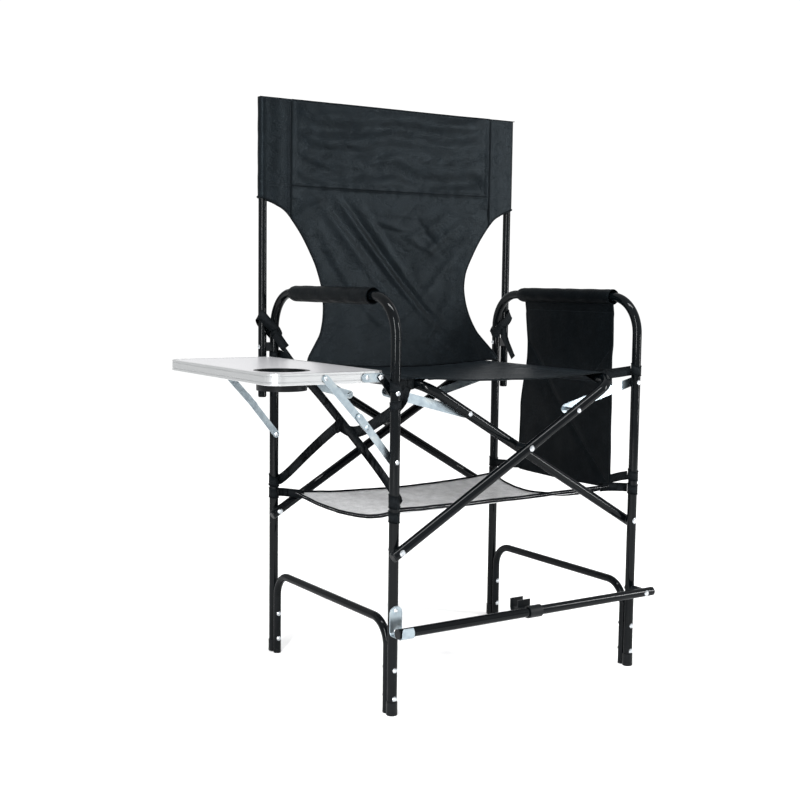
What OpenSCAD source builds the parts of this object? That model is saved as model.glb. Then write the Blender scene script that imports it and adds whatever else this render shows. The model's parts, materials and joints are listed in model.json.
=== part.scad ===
// Folding director chair with a side table, a cup holder, a carry pouch, a mesh shelf and a swing-up footrest.
// X runs across the chair, Y runs from the front to the back, Z runs up from the floor. Millimetres.

/* [Side frames] */
// half the distance between the left and right legs
leg_x = 293.5; // [240:0.5:340]
// half the distance between the front and rear legs
leg_y = 236; // [200:1:260]
// outer diameter of the main tubes
tube_d = 19; // [16:0.5:25]
// wall of every tube
wall = 1.2; // [0.8:0.1:2.5]
// height of the arm tube axis
arm_z = 768; // [700:1:820]
// bend radius of the arm corners
arm_bend = 75; // [50:1:110]
// diameter of the lower brace tubes
brace_d = 16; // [12:0.5:19]
// height of the brace top axis
brace_top = 172; // [120:1:240]
// outer diameter of the padded arm sleeves
sleeve_d = 33; // [26:0.5:45]

/* [Crossing frames] */
// height of the lower pivots on the legs
pivot_z = 308; // [260:1:360]
// distance from a lower pivot to the centre crossing
arm_a = 340; // [320:1:380]
// distance from the centre crossing to the seat rail axis
arm_c = 250; // [220:1:280]
// bend radius of the crossing frames
x_bend = 42; // [34:1:60]
// height of the tie bar pivots on the legs
tie_z = 595; // [560:1:620]
// angle of the crossing tubes when folded
fold_angle = 80; // [70:0.5:82]

/* [Back and seat] */
// distance of the back posts from the middle
post_x = 320; // [300:0.5:345]
// rearward position of the back posts
post_y = 239; // [236:0.5:245]
// diameter of the back posts
post_d = 17.5; // [14:0.5:20]
// height of the top of the back cloth
back_top = 1170; // [1000:1:1250]
// thickness of the cloth panels
cloth = 2; // [1:0.1:3]

/* [Side table] */
// height of the table surface
table_z = 635; // [600:1:660]
// width of the table outward from the chair
table_w = 230; // [180:1:300]
// half the length of the table, front to back
table_half = 222; // [180:1:222]
// height of the table edge frame
table_h = 21; // [15:1:25]
// radius of the cup holder's bore
cup_r = 43; // [35:0.5:46]
// depth of the cup holder below the table surface
cup_depth = 36; // [25:1:60]

/* [Footrest] */
// diameter of the footrest bar
foot_d = 18; // [14:0.5:20]
// height of the footrest bar axis
foot_z = 164.4; // [140:0.1:200]
// position of the footrest bar axis in front of the middle
foot_y = 278; // [276:0.5:285]

/* [Hidden] */
$fn = 48;
tr = tube_d / 2;
br = brace_d / 2;
pr = post_d / 2;
fr = foot_d / 2;
rest_angle = acos(leg_x / arm_a);
cross_z = pivot_z + arm_a * sin(rest_angle);
rail_x = arm_c * cos(rest_angle);
rail_z = cross_z + arm_c * sin(rest_angle);
brace_y = leg_y - tr - br - 0.1;
plane_out = leg_y + tr + 2 + tr;
plane_in = leg_y - tr - 2 - tr;
tie_h = tie_z - pivot_z;
tie_k = tie_h / (2 * (sin(rest_angle) + sin(fold_angle)));
tie_b = tie_k * arm_a / (arm_a - tie_k);
tie_qx = tie_b * cos(rest_angle);
tie_qz = cross_z + tie_b * sin(rest_angle);
hinge_x = -318;
hinge_z = 623;
table_in = -309;
table_out = table_in - table_w;
cup_x = -470;
cup_y = -134;
low_z = 470;
knee_x = -346;
knee_z = 534;
stud_x = -362;
stud_z = 553.4;
top_x = -430;
top_z = 624;
shank = 5;
bore = shank + 0.1;
shift_x = 103.85;
shift_y = 10.9;

// ---------- shared shapes ----------

// moves from the middle of the four legs to the middle of the whole footprint
module stance() {
  translate([shift_x, shift_y, 0]) children();
}

// cylinder along Y from y0 to y1 at x, z
module ycyl(x, z, y0, y1, r) {
  translate([x, y0, z]) rotate([-90, 0, 0]) cylinder(h = y1 - y0, r = r);
}

// cylinder along X from x0 to x1 at y, z
module xcyl(y, z, x0, x1, r) {
  translate([x0, y, z]) rotate([0, 90, 0]) cylinder(h = x1 - x0, r = r);
}

// rivet along Y: shank between faces y0 and y1, domed head h0 below y0 and h1 above y1
module yrivet(x, z, y0, y1, h0, h1, rs, rh) {
  ycyl(x, z, y0 - h0 / 2, y1 + h1 / 2, rs);
  if (h0 > 0) translate([x, y0, z]) rotate([90, 0, 0]) cylinder(h = h0, r1 = rh, r2 = rh * 0.6);
  if (h1 > 0) translate([x, y1, z]) rotate([-90, 0, 0]) cylinder(h = h1, r1 = rh, r2 = rh * 0.6);
}

// rivet along X between faces x0 and x1
module xrivet(y, z, x0, x1, h, rs, rh) {
  xcyl(y, z, x0 - h / 2, x1 + h / 2, rs);
  translate([x0, y, z]) rotate([0, -90, 0]) cylinder(h = h, r1 = rh, r2 = rh * 0.6);
  translate([x1, y, z]) rotate([0, 90, 0]) cylinder(h = h, r1 = rh, r2 = rh * 0.6);
}

// solid inverted U in the local XY plane
module u_rod(half, top, bend, r, z0) {
  for (s = [-1, 1]) {
    translate([s * half, z0, 0]) rotate([-90, 0, 0]) cylinder(h = top - bend - z0, r = r);
  }
  translate([half - bend, top - bend, 0]) rotate_extrude(angle = 90) translate([bend, 0]) circle(r);
  translate([bend - half, top - bend, 0]) rotate([0, 0, 90])
    rotate_extrude(angle = 90) translate([bend, 0]) circle(r);
  translate([bend - half, top, 0]) rotate([0, 90, 0]) cylinder(h = 2 * (half - bend), r = r);
}

// bent tube as an inverted U standing in the YZ plane at x
module u_tube(x, half, top, bend, r, z0) {
  translate([x, 0, 0]) rotate([90, 0, 90]) difference() {
    u_rod(half, top, bend, r, z0);
    u_rod(half, top, bend, r - wall, z0 - 1);
  }
}

// flat bar with round ends between two points, lying in a plane of constant Y
module flat_bar(x1, z1, x2, z2, w, y0, y1) {
  len = sqrt(pow(x2 - x1, 2) + pow(z2 - z1, 2));
  ang = atan2(z2 - z1, x2 - x1);
  ycyl(x1, z1, y0, y1, w / 2);
  ycyl(x2, z2, y0, y1, w / 2);
  translate([x1, y0, z1]) rotate([0, -ang, 0]) translate([0, 0, 0.02 - w / 2])
    cube([len, y1 - y0, w - 0.04]);
}

// webbing loop around a vertical leg
module leg_loop(x, y, z0, z1) {
  translate([x, y, z0]) difference() {
    cylinder(h = z1 - z0, r = tr + 1.5);
    translate([0, 0, -1]) cylinder(h = z1 - z0 + 2, r = tr + 0.3);
  }
}

// flat webbing between two points, upright, thickness t across
module web(p, q, w, t) {
  dx = q[0] - p[0];
  dy = q[1] - p[1];
  dz = q[2] - p[2];
  flat = sqrt(dx * dx + dy * dy);
  len = sqrt(flat * flat + dz * dz);
  translate(p) rotate([0, 0, atan2(dy, dx)]) rotate([0, -atan2(dz, flat), 0])
    translate([0, -t / 2, -w / 2]) cube([len, t, w]);
}

// ---------- side frames ----------

// rivet positions that cross a leg along Y: pivot, tie bar and brace rivets
module leg_holes(s, tie_rivets) {
  for (f = [-1, 1]) {
    for (z = [32, 86, pivot_z]) ycyl(s * leg_x, z, f * leg_y - 12, f * leg_y + 12, bore / 2);
    ycyl(s * leg_x, tie_z, f * leg_y - 12, f * leg_y + 12, bore / 2);
    if (tie_rivets) ycyl(s * leg_x, low_z, f * leg_y - 12, f * leg_y + 12, bore / 2);
  }
  for (z = [572, 655]) {
    xcyl(leg_y + 1, z, s * leg_x - 12, s * leg_x + 12, bore / 2);
  }
}

module hoop(s) {
  difference() {
    u_tube(s * leg_x, leg_y, arm_z, arm_bend, tr, 4);
    leg_holes(s, s < 0);
    if (s < 0) for (z = [160, 198]) ycyl(-leg_x, z, -leg_y - 12, -leg_y + 12, 2.05);
    if (s > 0) ycyl(leg_x, foot_z, -leg_y - 12, -leg_y + 12, 3.05);
  }
}

// left leg, arm and leg in one bent tube
module left_hoop() {
  color([0.03, 0.03, 0.03]) stance() hoop(-1);
}

// right leg, arm and leg in one bent tube
module right_hoop() {
  color([0.03, 0.03, 0.03]) stance() hoop(1);
}

module brace(s) {
  difference() {
    u_tube(s * leg_x, brace_y, brace_top, 48, br, 6.2);
    for (f = [-1, 1]) for (z = [32, 86]) {
      ycyl(s * leg_x, z, f * brace_y - 10, f * brace_y + 10, bore / 2);
    }
  }
}

// low hoop riveted inside the left legs
module left_brace() {
  color([0.03, 0.03, 0.03]) stance() brace(-1);
}

// low hoop riveted inside the right legs
module right_brace() {
  color([0.03, 0.03, 0.03]) stance() brace(1);
}

// plastic shoe over each leg end, open towards the brace
module leg_feet(s) {
  for (f = [-1, 1]) difference() {
    translate([s * leg_x, f * leg_y, 0]) difference() {
      union() {
        cylinder(h = 1.5, r1 = 9.5, r2 = 10.6);
        translate([0, 0, 1.5]) cylinder(h = 23.5, r = 10.6);
      }
      translate([0, 0, 3.9]) cylinder(h = 30, r = tr + 0.05);
    }
    translate([s * leg_x - 20, f > 0 ? leg_y - 20 : -leg_y + 8.8, -1]) cube([40, 11.2, 40]);
  }
}

module left_leg_feet() {
  color([0.05, 0.05, 0.05]) stance() leg_feet(-1);
}

module right_leg_feet() {
  color([0.05, 0.05, 0.05]) stance() leg_feet(1);
}

// plastic plug in each brace end
module brace_feet(s) {
  for (f = [-1, 1]) translate([s * leg_x, f * brace_y, 0]) {
    cylinder(h = 6, r = br);
    cylinder(h = 20, r = br - wall - 0.05);
  }
}

module left_brace_feet() {
  color([0.05, 0.05, 0.05]) stance() brace_feet(-1);
}

module right_brace_feet() {
  color([0.05, 0.05, 0.05]) stance() brace_feet(1);
}

// rivets through leg and brace, low on every leg
module brace_rivets(s) {
  for (z = [32, 86]) {
    yrivet(s * leg_x, z, -leg_y - tr, -brace_y + br, 1.8, 1.8, shank / 2, 5);
    yrivet(s * leg_x, z, brace_y - br, leg_y + tr, 1.8, 1.8, shank / 2, 5);
  }
}

// rivets fixed in the left side frame
module left_rivets() {
  color([0.8, 0.81, 0.83]) stance() {
    brace_rivets(-1);
    yrivet(-leg_x, pivot_z, -plane_out - tr, -leg_y + tr, 1.6, 1.6, shank / 2, 6);
    yrivet(-leg_x, pivot_z, plane_in - tr, leg_y + tr, 1.6, 1.6, shank / 2, 6);
    yrivet(-leg_x, tie_z, -leg_y - tr, -203.6, 1.8, 1.6, shank / 2, 5);
    yrivet(-leg_x, tie_z, 222.4, leg_y + tr, 1.6, 1.8, shank / 2, 5);
    yrivet(-leg_x, low_z, -leg_y - tr, -224.5, 1.8, 1.5, shank / 2, 4.5);
    yrivet(-leg_x, low_z, 224.5, leg_y + tr, 1.5, 1.8, shank / 2, 4.5);
    for (z = [572, 655]) xrivet(leg_y + 1, z, -post_x - pr, -leg_x + tr, 1.6, shank / 2, 4.5);
    for (z = [160, 198]) yrivet(-leg_x, z, -leg_y - tr - 1.6, -leg_y + tr, 1.6, 1.6, 2, 4);
    yrivet(hinge_x, hinge_z, -226.4, -222.3, 1.8, 0, shank / 2, 5);
    yrivet(hinge_x, hinge_z, 222.3, 226.4, 0, 1.8, shank / 2, 5);
  }
}

// rivets fixed in the right side frame
module right_rivets() {
  color([0.8, 0.81, 0.83]) stance() {
    brace_rivets(1);
    yrivet(leg_x, pivot_z, -leg_y - tr, -plane_in + tr, 1.6, 1.6, shank / 2, 6);
    yrivet(leg_x, pivot_z, leg_y - tr, plane_out + tr, 1.6, 1.6, shank / 2, 6);
    yrivet(leg_x, tie_z, -leg_y - tr, -222.4, 1.8, 1.6, shank / 2, 5);
    yrivet(leg_x, tie_z, 203.6, leg_y + tr, 1.6, 1.8, shank / 2, 5);
    for (z = [572, 655]) xrivet(leg_y + 1, z, leg_x - tr, post_x + pr, 1.6, shank / 2, 4.5);
    yrivet(leg_x, foot_z, -foot_y - fr, -leg_y + tr, 2, 1.6, 3, 6);
  }
}

// flat ring or spacer around a rivet
module washer(x, z, y0, y1, ro) {
  difference() {
    ycyl(x, z, y0, y1, ro);
    ycyl(x, z, y0 - 1, y1 + 1, bore / 2);
  }
}

// nylon washers and spacers on the left side frame
module left_washers() {
  color([0.1, 0.1, 0.1]) stance() {
    washer(-leg_x, pivot_z, -247.4, -245.6, 8);
    washer(-leg_x, pivot_z, 224.6, 226.4, 8);
    washer(-leg_x, tie_z, -224.3, -205.3, 5.5);
  }
}

// nylon washers and spacers on the right side frame
module right_washers() {
  color([0.1, 0.1, 0.1]) stance() {
    washer(leg_x, pivot_z, -226.4, -224.6, 8);
    washer(leg_x, pivot_z, 245.6, 247.4, 8);
    washer(leg_x, tie_z, -226.4, -224.2, 7);
    washer(leg_x, tie_z, 205.3, 226.4, 5.5);
  }
}

// ---------- crossing frames ----------

// solid U frame lying in the local XY plane, rail on the +X side
module x_rod(r, over) {
  for (y = [-plane_out, plane_in]) {
    translate([-arm_a - 15 - over, y, 0]) rotate([0, 90, 0])
      cylinder(h = arm_a + 15 + over + arm_c - x_bend, r = r);
  }
  translate([arm_c - x_bend, x_bend - plane_out, 0]) rotate([0, 0, -90])
    rotate_extrude(angle = 90) translate([x_bend, 0]) circle(r);
  translate([arm_c - x_bend, plane_in - x_bend, 0])
    rotate_extrude(angle = 90) translate([x_bend, 0]) circle(r);
  translate([arm_c, x_bend - plane_out, 0]) rotate([-90, 0, 0])
    cylinder(h = plane_out + plane_in - 2 * x_bend, r = r);
}

module x_frame() {
  translate([0, 0, cross_z]) rotate([0, -rest_angle, 0]) difference() {
    x_rod(tr, 0);
    x_rod(tr - wall, 1);
    for (y = [-plane_out, plane_in]) {
      for (u = [-arm_a, 0, tie_b]) {
        translate([u, y - 12, 0]) rotate([-90, 0, 0]) cylinder(h = 24, r = bore / 2);
      }
    }
  }
}

// crossing frame pivoted on the left legs, with the right seat rail
module x_frame_a() {
  color([0.03, 0.03, 0.03]) stance() x_frame();
}

// crossing frame pivoted on the right legs, with the left seat rail
module x_frame_b() {
  color([0.03, 0.03, 0.03]) stance() rotate([0, 0, 180]) x_frame();
}

module x_plugs() {
  translate([0, 0, cross_z]) rotate([0, -rest_angle, 0]) for (y = [-plane_out, plane_in]) {
    translate([-arm_a - 18.1, y, 0]) rotate([0, 90, 0]) cylinder(h = 3, r1 = tr - 1, r2 = tr);
    translate([-arm_a - 16, y, 0]) rotate([0, 90, 0]) cylinder(h = 10, r = tr - wall - 0.05);
  }
}

// end plugs of the frame pivoted on the left
module x_frame_a_plugs() {
  color([0.05, 0.05, 0.05]) stance() x_plugs();
}

// end plugs of the frame pivoted on the right
module x_frame_b_plugs() {
  color([0.05, 0.05, 0.05]) stance() rotate([0, 0, 180]) x_plugs();
}

// spacer tube between the two frames at each crossing
module cross_bushes() {
  color([0.1, 0.1, 0.1]) stance() {
    washer(0, cross_z, -plane_out + tr + 0.1, -plane_in - tr - 0.2, 7);
    washer(0, cross_z, plane_in + tr + 0.1, plane_out - tr - 0.2, 7);
  }
}

// rivets at the two crossings
module cross_rivets() {
  color([0.8, 0.81, 0.83]) stance() {
    yrivet(0, cross_z, -plane_out - tr, -plane_in + tr + 0.2, 1.6, 1.6, shank / 2, 6);
    yrivet(0, cross_z, plane_in - tr, plane_out + tr + 0.2, 1.6, 1.6, shank / 2, 6);
  }
}

// rivet heads that hold the tie bars, on the far side of each tube
module q_heads() {
  translate([tie_qx, 0, tie_qz]) {
    yrivet(0, 0, -plane_out - tr, -plane_out, 1.6, 0, shank / 2, 5);
    yrivet(0, 0, plane_in, plane_in + tr, 0, 1.6, shank / 2, 5);
  }
}

module x_frame_a_heads() {
  color([0.8, 0.81, 0.83]) stance() q_heads();
}

module x_frame_b_heads() {
  color([0.8, 0.81, 0.83]) stance() rotate([0, 0, 180]) q_heads();
}

// tie bar lying against the inner side of the near tube, head towards the middle
module tie_near() {
  difference() {
    flat_bar(-leg_x, tie_z, -tie_qx, tie_qz, 18, -205.2, -203.6);
    ycyl(-leg_x, tie_z, -210, -200, bore / 2);
  }
  translate([-tie_qx, -203.7, tie_qz]) rotate([-90, 0, 0]) cylinder(h = 1.7, r1 = 5, r2 = 3);
}

// tie bar close to the leg with a long stud reaching the far tube
module tie_far() {
  difference() {
    flat_bar(leg_x, tie_z, tie_qx, tie_qz, 18, -224.1, -222.5);
    ycyl(leg_x, tie_z, -230, -215, bore / 2);
  }
  ycyl(tie_qx, tie_qz, -247.2, -224, 4);
  translate([tie_qx, -222.6, tie_qz]) rotate([-90, 0, 0]) cylinder(h = 1.7, r1 = 5, r2 = 3);
}

module tie_bar_front_left() {
  color([0.62, 0.66, 0.7]) stance() tie_near();
}

module tie_bar_rear_right() {
  color([0.62, 0.66, 0.7]) stance() rotate([0, 0, 180]) tie_near();
}

module tie_bar_front_right() {
  color([0.62, 0.66, 0.7]) stance() tie_far();
}

module tie_bar_rear_left() {
  color([0.62, 0.66, 0.7]) stance() rotate([0, 0, 180]) tie_far();
}

// ---------- back posts ----------

module back_post(s) {
  difference() {
    translate([s * post_x, post_y, 552]) difference() {
      cylinder(h = back_top - 8 - 552, r = pr);
      translate([0, 0, -1]) cylinder(h = back_top, r = pr - wall);
    }
    for (z = [572, 655]) xcyl(leg_y + 1, z, s * post_x - 12, s * post_x + 12, bore / 2);
  }
}

// upright tube that carries the left side of the back
module left_back_post() {
  color([0.03, 0.03, 0.03]) stance() back_post(-1);
}

// upright tube that carries the right side of the back
module right_back_post() {
  color([0.03, 0.03, 0.03]) stance() back_post(1);
}

module post_plugs(s) {
  translate([s * post_x, post_y, 549]) {
    cylinder(h = 2.9, r1 = pr - 1, r2 = pr);
    cylinder(h = 15, r = pr - wall - 0.05);
  }
  translate([s * post_x, post_y, back_top - 7.9]) {
    cylinder(h = 2.9, r1 = pr, r2 = pr - 1);
    translate([0, 0, -12]) cylinder(h = 13, r = pr - wall - 0.05);
  }
}

module left_post_plugs() {
  color([0.05, 0.05, 0.05]) stance() post_plugs(-1);
}

module right_post_plugs() {
  color([0.05, 0.05, 0.05]) stance() post_plugs(1);
}

// saddle blocks between post and leg
module post_brackets(s) {
  for (z = [572, 655]) difference() {
    translate([s > 0 ? leg_x + 4 : -leg_x - 22.5, 229, z - 9]) cube([18.5, 17, 18]);
    translate([s * leg_x, leg_y, z - 20]) cylinder(h = 40, r = tr + 0.05);
    translate([s * post_x, post_y, z - 20]) cylinder(h = 40, r = pr + 0.05);
    xcyl(leg_y + 1, z, s > 0 ? 280 : -340, s > 0 ? 340 : -280, bore / 2);
  }
}

module left_post_brackets() {
  color([0.08, 0.08, 0.08]) stance() post_brackets(-1);
}

module right_post_brackets() {
  color([0.08, 0.08, 0.08]) stance() post_brackets(1);
}

// webbing band tying post and arm corner together
module post_strap(s) {
  translate([0, 0, 698]) linear_extrude(24) difference() {
    translate([s > 0 ? 282.6 : -331.5, 217]) square([48.9, 33]);
    translate([s > 0 ? 283.8 : -330, 218.5]) square([46.2, 30]);
  }
}

module left_post_strap() {
  color([0.06, 0.06, 0.06]) stance() post_strap(-1);
}

module right_post_strap() {
  color([0.06, 0.06, 0.06]) stance() post_strap(1);
}

// ---------- fabric ----------

// sleeve around a seat rail
module rail_sleeve(x, y0, y1) {
  difference() {
    ycyl(x, rail_z, y0, y1, tr + 2.1);
    ycyl(x, rail_z, y0 - 1, y1 + 1, tr + 0.3);
  }
}

// seat cloth with a sleeve over each rail
module seat_fabric() {
  color([0.07, 0.07, 0.08]) stance() {
    rail_sleeve(rail_x, -208, 168);
    rail_sleeve(-rail_x, -168, 176);
    translate([-rail_x, -225, rail_z + tr + 0.3]) cube([2 * rail_x, 401, 1.8]);
  }
}

// half outline of the upright part of the back cloth, from the post down to the waist
back_edge = [
  [post_x, back_top], [post_x, 966], [308, 958], [290, 950], [268, 935], [235, 893],
  [210, 850], [196, 820], [189, 799]
];

// half outline of the lower part, heights measured down its own slope from z 800
lower_edge = [
  [189, 1], [186, -31], [187, -60], [191, -84], [197, -105], [206, -126], [219, -144],
  [232, -161], [243, -175], [249, -189]
];
lower_tilt = 17.4;

// flat panel from a half outline, standing in the XZ plane and centred on y
module panel(edge, y) {
  left = [for (i = [len(edge) - 1:-1:0]) [-edge[i][0], edge[i][1]]];
  translate([0, y + cloth / 2, 0]) rotate([90, 0, 0]) linear_extrude(cloth)
    polygon(concat(edge, left));
}

// back cloth: a pocket over each post, the waisted panel and its lower part sloping to the seat
module back_fabric() {
  back_y = post_y - pr - 0.55 - cloth / 2;
  color([0.08, 0.08, 0.09]) stance() {
    for (s = [-1, 1]) translate([s * post_x, post_y, 966]) difference() {
      cylinder(h = back_top - 966, r = pr + 0.55 + cloth);
      translate([0, 0, -1]) cylinder(h = back_top - 966 - 1, r = pr + 0.55);
    }
    panel(back_edge, back_y);
    translate([0, back_y, 800]) rotate([-lower_tilt, 0, 0]) panel(lower_edge, 0);
  }
}

// padded sleeve on the left arm
module left_arm_sleeve() {
  color([0.06, 0.06, 0.06]) stance() difference() {
    ycyl(-leg_x, arm_z, -157, 157, sleeve_d / 2);
    ycyl(-leg_x, arm_z, -158, 158, tr + 0.3);
  }
}

// padded sleeve on the right arm with the pouch hanging under it
module side_pouch() {
  color([0.06, 0.06, 0.06]) stance() {
    difference() {
      ycyl(leg_x, arm_z, -163, 150, sleeve_d / 2);
      ycyl(leg_x, arm_z, -164, 151, tr + 0.3);
    }
    translate([290.5, 0, 0]) rotate([90, 0, 90]) linear_extrude(2)
      polygon([[-163, 756], [-169, 372], [-162, 366], [132, 362], [140, 368], [124, 756]]);
    translate([292, 0, 0]) rotate([90, 0, 90]) difference() {
      linear_extrude(14) polygon([[-165, 640], [-168, 372], [-162, 367], [131, 363], [138, 369], [129, 640]]);
      translate([0, 0, 0.4]) linear_extrude(12)
        polygon([[-163, 650], [-166, 376], [-161, 370], [130, 366], [136, 372], [127, 650]]);
    }
  }
}

// webbing from the lower pouch corners to the right legs
module pouch_straps() {
  color([0.06, 0.06, 0.06]) stance() {
    leg_loop(leg_x, -leg_y, 394, 412);
    leg_loop(leg_x, leg_y, 362, 380);
    web([leg_x - 3.6, -224, 403], [289.8, -169.5, 384], 16, 1.2);
    web([leg_x - 3.6, 225.6, 371], [289.8, 140.5, 376], 16, 1.2);
  }
}

// open mesh shelf slung between the four legs
module mesh_shelf() {
  color([0.5, 0.51, 0.52]) stance() {
    difference() {
      translate([-262, -196, 342]) cube([524, 392, 1.6]);
      for (s = [-1, 1]) for (f = [-1, 1]) translate([s * 262, f * 196, 330]) cylinder(h = 30, r = 24);
    }
    for (f = [0, 1]) for (s = [-1, 1]) {
      top = f == 0 ? (s < 0 ? 380 : 388) : (s < 0 ? 356 : 358);
      y = f == 0 ? -1 : 1;
      leg_loop(s * leg_x, y * leg_y, top - 20, top);
      d = 10.3 + 8 * sin(atan2(abs(356 - top), 65));
      web([s * (leg_x - 0.657 * d), y * (leg_y - 0.754 * d), top - 10], [s * 243, y * 178, 346], 16, 1.2);
    }
  }
}

// two webbing straps crossing between the left legs
module side_straps() {
  color([0.06, 0.06, 0.06]) stance() {
    leg_loop(-leg_x, -leg_y, 386, 410);
    leg_loop(-leg_x, leg_y, 618, 638);
    leg_loop(-leg_x, -leg_y, 556, 580);
    leg_loop(-leg_x, leg_y, 360, 384);
    web([-283.2, -231, 394], [-283.2, 231, 628], 20, 1.2);
    web([-283.2, -231, 572], [-282.2, -12, 514], 20, 1.2);
    web([-282.2, -12, 514], [-283.2, 231, 372], 20, 1.2);
  }
}

// short webbing from the front seat corners to the front legs
module seat_straps() {
  color([0.06, 0.06, 0.06]) stance() {
    web([-230, -196, 606], [-281, -229, 616], 20, 1.2);
    web([231, -224, 606], [282, -231, 618], 20, 1.2);
  }
}

// ---------- side table ----------

// rounded table outline, outer corners large, hinge-side corners small
module table_outline(inset) {
  ro = 30 - inset;
  difference() {
    translate([table_out + inset, inset - table_half])
      square([table_w - 2 * inset, 2 * (table_half - inset)]);
    for (f = [-1, 1]) {
      translate([table_out - 5, f > 0 ? table_half - 30 : -table_half - 5]) square([35, 35]);
    }
  }
  for (f = [-1, 1]) translate([table_out + 30, f * (table_half - 30)]) circle(ro);
}

// laminated panel of the table
module table_top() {
  color([0.8, 0.8, 0.79]) stance() difference() {
    translate([0, 0, table_z - 7]) linear_extrude(6.4) table_outline(3.1);
    translate([cup_x, cup_y, table_z - 20]) cylinder(h = 40, r = cup_r + 2.6);
    translate([cup_x, cup_y, table_z - 2.7]) cylinder(h = 20, r = cup_r + 8.1);
  }
}

// aluminium edge frame around and under the panel
module table_frame() {
  color([0.72, 0.73, 0.74]) stance() difference() {
    translate([0, 0, table_z - table_h]) linear_extrude(table_h) table_outline(0);
    translate([0, 0, table_z - 7.1]) linear_extrude(20) table_outline(3);
    translate([0, 0, table_z - table_h - 1]) linear_extrude(30) table_outline(10);
    for (f = [-1, 1]) for (p = [[-345, 623], [top_x, top_z]]) {
      ycyl(p[0], p[1], f * 217 - 7, f * 217 + 7, 2.05);
    }
  }
}

// plastic cup holder dropped into the panel
module cup_holder() {
  color([0.04, 0.04, 0.04]) stance() translate([cup_x, cup_y, table_z]) difference() {
    union() {
      translate([0, 0, -2.6]) cylinder(h = 2, r = cup_r + 8);
      translate([0, 0, -cup_depth]) cylinder(h = cup_depth - 1, r = cup_r + 2.5);
    }
    translate([0, 0, 2 - cup_depth]) cylinder(h = cup_depth + 5, r = cup_r);
  }
}

// zinc plates on the table edge that turn on the chair's brackets
module table_hinge_plates() {
  color([0.62, 0.66, 0.7]) stance() for (f = [-1, 1]) difference() {
    flat_bar(-349, hinge_z, hinge_x, hinge_z, 16, f > 0 ? 222.4 : -224, f > 0 ? 224 : -222.4);
    ycyl(hinge_x, hinge_z, f * 223 - 5, f * 223 + 5, bore / 2);
    ycyl(-345, hinge_z, f * 223 - 5, f * 223 + 5, 2.05);
  }
}

// rivets fixed in the table edge
module table_rivets() {
  color([0.8, 0.81, 0.83]) stance() {
    yrivet(-345, hinge_z, -224, -212, 1.6, 1.4, 2, 4);
    yrivet(-345, hinge_z, 212, 224, 1.4, 1.6, 2, 4);
    yrivet(top_x, top_z, -224.3, -212, 1.6, 1.4, 2, 4);
    yrivet(top_x, top_z, 212, 224.3, 1.4, 1.6, 2, 4);
  }
}

// dark brackets on the legs that carry the table pivots
module hinge_bracket(y0, y1) {
  len = sqrt(pow(hinge_x + leg_x, 2) + pow(hinge_z - tie_z, 2));
  nx = (hinge_z - tie_z) / len;
  nz = (hinge_x + leg_x) / len;
  translate([0, y1, 0]) rotate([90, 0, 0]) linear_extrude(y1 - y0) difference() {
    union() {
      translate([-leg_x, tie_z]) circle(8);
      translate([hinge_x, hinge_z]) circle(6);
      polygon([
        [-leg_x + 7.9 * nx, tie_z - 7.9 * nz], [hinge_x + 5.9 * nx, hinge_z - 5.9 * nz],
        [hinge_x - 5.9 * nx, hinge_z + 5.9 * nz], [-leg_x - 7.9 * nx, tie_z + 7.9 * nz]
      ]);
    }
    translate([-leg_x, tie_z]) circle(bore / 2);
    translate([hinge_x, hinge_z]) circle(bore / 2);
  }
}

module hinge_brackets() {
  color([0.05, 0.05, 0.05]) stance() {
    hinge_bracket(-226.3, -224.5);
    hinge_bracket(224.5, 226.3);
  }
}

// lower strut bar, pivoted on the leg, with the stop stud past the knee
module strut_lower(y0, y1, out) {
  difference() {
    flat_bar(-leg_x, low_z, stud_x, stud_z, 14, y0, y1);
    ycyl(-leg_x, low_z, y0 - 5, y1 + 5, bore / 2);
  }
  if (out < 0) yrivet(knee_x, knee_z, y0, y0 + 0.5, 1.6, 0, 1.5, 4.5);
  if (out < 0) yrivet(stud_x, stud_z, y0, y0 + 0.5, 1.6, 0, 1.5, 3.5);
  if (out > 0) yrivet(knee_x, knee_z, y1 - 0.5, y1, 0, 1.6, 1.5, 4.5);
  if (out > 0) yrivet(stud_x, stud_z, y1 - 0.5, y1, 0, 1.6, 1.5, 3.5);
}

module strut_lower_front() {
  color([0.62, 0.66, 0.7]) stance() strut_lower(-226.2, -224.7, -1);
}

module strut_lower_rear() {
  color([0.62, 0.66, 0.7]) stance() strut_lower(224.7, 226.2, 1);
}

// upper strut bar, pivoted on the table edge
module strut_upper(y0, y1) {
  difference() {
    flat_bar(knee_x, knee_z, top_x, top_z, 14, y0, y1);
    ycyl(top_x, top_z, y0 - 5, y1 + 5, 2.05);
  }
}

module strut_upper_front() {
  color([0.62, 0.66, 0.7]) stance() strut_upper(-224, -222.4);
}

module strut_upper_rear() {
  color([0.62, 0.66, 0.7]) stance() strut_upper(222.4, 224);
}

// ---------- footrest ----------

// bar that lies across the front and swings up to lock the folded chair
module footrest_bar() {
  color([0.03, 0.03, 0.03]) stance() difference() {
    xcyl(-foot_y, foot_z, -308, 313.6, fr);
    xcyl(-foot_y, foot_z, -309, 314.6, fr - wall);
    ycyl(leg_x, foot_z, -foot_y - 12, -foot_y + 12, 3.05);
  }
}

module footrest_plugs() {
  color([0.05, 0.05, 0.05]) stance() {
    xcyl(-foot_y, foot_z, -311, -308.1, fr);
    xcyl(-foot_y, foot_z, -309, -296, fr - wall - 0.05);
    xcyl(-foot_y, foot_z, 313.7, 316.6, fr);
    xcyl(-foot_y, foot_z, 304, 314, fr - wall - 0.05);
  }
}

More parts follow.
